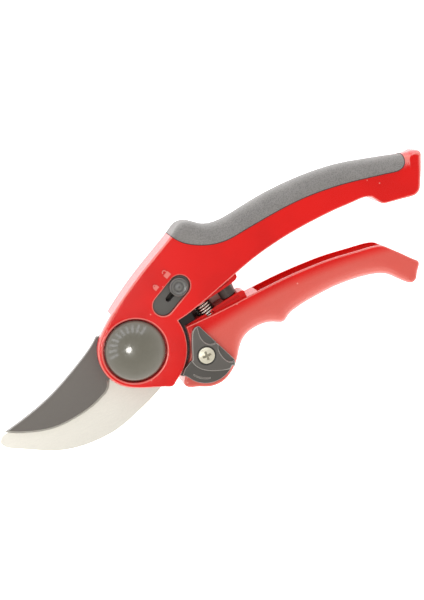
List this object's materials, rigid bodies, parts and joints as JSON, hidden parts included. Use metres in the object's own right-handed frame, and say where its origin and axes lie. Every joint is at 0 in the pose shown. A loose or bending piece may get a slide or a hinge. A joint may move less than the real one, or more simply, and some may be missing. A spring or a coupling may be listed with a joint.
{
  "type": "bypass pruning shears",
  "caption": "One-hand bypass pruning shears with a curved blade passing a hooked jaw, a domed pivot cap, a sliding lock, an opening limiter, a coil spring and a soft upper grip.",
  "frame": {"origin": "on the pivot axis, in the plane of the flat backs of both handles, which the shears lie on", "axes": "+X from the pivot to the ends of the handles, +Y towards the upper handle with the grip, +Z out of the face with the pivot cap"},
  "size_m": [0.2098, 0.069, 0.0198],
  "materials": {
    "red_paint": "gloss paint over die-cast aluminium",
    "soft_grip": "satin moulded rubber",
    "hook_steel": "satin ground steel",
    "blade_coating": "dark low-friction coating",
    "cap_plastic": "gloss moulded plastic",
    "lock_plastic": "satin moulded plastic",
    "lever_plastic": "gloss moulded plastic",
    "bumper_rubber": "matt rubber",
    "zinc_steel": "zinc-plated steel",
    "spring_steel": "bright drawn wire",
    "bush_brass": "turned bronze",
    "washer_plastic": "low-friction plastic"
  },
  "bodies": {
    "upper": {"upper_handle": "red_paint", "soft_grip": "soft_grip", "hook_blade": "hook_steel", "hook_screws": "zinc_steel", "pivot_bolt": "zinc_steel", "friction_washer": "washer_plastic", "spring_washer": "spring_steel", "pivot_nut": "zinc_steel", "locking_segment": "zinc_steel", "segment_screw": "zinc_steel", "pivot_cap": "cap_plastic", "lock_leaf_spring": "spring_steel", "lock_plate": "lock_plastic", "return_spring": "spring_steel"},
    "lower": {"lower_handle": "red_paint", "cutting_blade": "blade_coating", "pivot_bush": "bush_brass", "blade_screws": "zinc_steel", "bumper": "bumper_rubber", "limiter_washer": "washer_plastic", "limiter_screw": "zinc_steel"},
    "limiter": {"limiter_lever": "lever_plastic"},
    "lock": {"lock_button": "lock_plastic", "lock_tongue": "zinc_steel", "tongue_screw": "zinc_steel"}
  },
  "joints": [
    {"name": "handle_pivot", "type": "hinge", "parent": "upper", "child": "lower", "pos_m": [0, 0, 0.009], "axis": [0, 0, -1], "range_deg": [0, 32], "deforming": ["return_spring"]},
    {"name": "limiter_pivot", "type": "hinge", "parent": "lower", "child": "limiter", "pos_m": [0.0259, -0.0144, 0.0165], "axis": [0, 0, 1], "range_deg": [0, 12]},
    {"name": "lock_slide", "type": "slide", "parent": "upper", "child": "lock", "axis": [-0.9, -0.4358, 0], "range_m": [0, 0.0065]}
  ]
}
